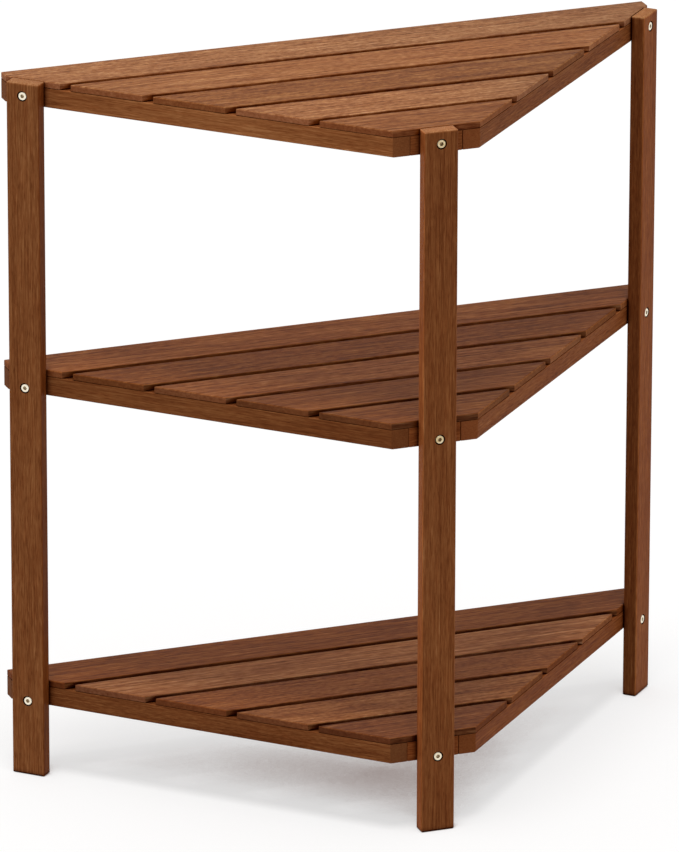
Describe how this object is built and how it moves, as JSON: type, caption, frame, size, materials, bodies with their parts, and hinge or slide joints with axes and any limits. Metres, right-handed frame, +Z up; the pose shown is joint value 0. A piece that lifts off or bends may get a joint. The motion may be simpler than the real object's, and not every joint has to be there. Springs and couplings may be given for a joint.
{
  "type": "corner shelf",
  "caption": "Free-standing tiered corner shelf of oiled hardwood: flat posts carry triangular slatted shelves, each bolted to the posts with countersunk socket bolts.",
  "frame": {"origin": "on the floor, at the centre of the overall width and depth", "axes": "+Z up; the long open side of the shelves faces -Y; the right-angled corner and the back post are at +Y; +X is to the right of someone who stands behind the long side, at -Y, and looks at the shelf"},
  "size_m": [0.708, 0.3326, 0.75],
  "materials": {
    "slat_wood": "oiled",
    "post_wood": "oiled",
    "frame_wood": "oiled",
    "dowel_wood": "raw",
    "bolt_zinc": "pale yellow zinc plating",
    "plain_steel": "bright zinc plating"
  },
  "bodies": {
    "root": {"left_post": "post_wood", "right_post": "post_wood", "back_post": "post_wood", "top_slat_1": "slat_wood", "top_slat_2": "slat_wood", "top_slat_3": "slat_wood", "top_slat_4": "slat_wood", "top_slat_5": "slat_wood", "top_left_rail": "frame_wood", "top_right_rail": "frame_wood", "top_corner_block": "frame_wood", "top_centre_batten": "frame_wood", "middle_slat_1": "slat_wood", "middle_slat_2": "slat_wood", "middle_slat_3": "slat_wood", "middle_slat_4": "slat_wood", "middle_slat_5": "slat_wood", "middle_left_rail": "frame_wood", "middle_right_rail": "frame_wood", "middle_corner_block": "frame_wood", "middle_centre_batten": "frame_wood", "bottom_slat_1": "slat_wood", "bottom_slat_2": "slat_wood", "bottom_slat_3": "slat_wood", "bottom_slat_4": "slat_wood", "bottom_slat_5": "slat_wood", "bottom_left_rail": "frame_wood", "bottom_right_rail": "frame_wood", "bottom_corner_block": "frame_wood", "bottom_centre_batten": "frame_wood", "post_bolts": "bolt_zinc", "bolt_inserts": "plain_steel", "frame_dowels": "dowel_wood", "slat_screws": "plain_steel"}
  },
  "joints": []
}
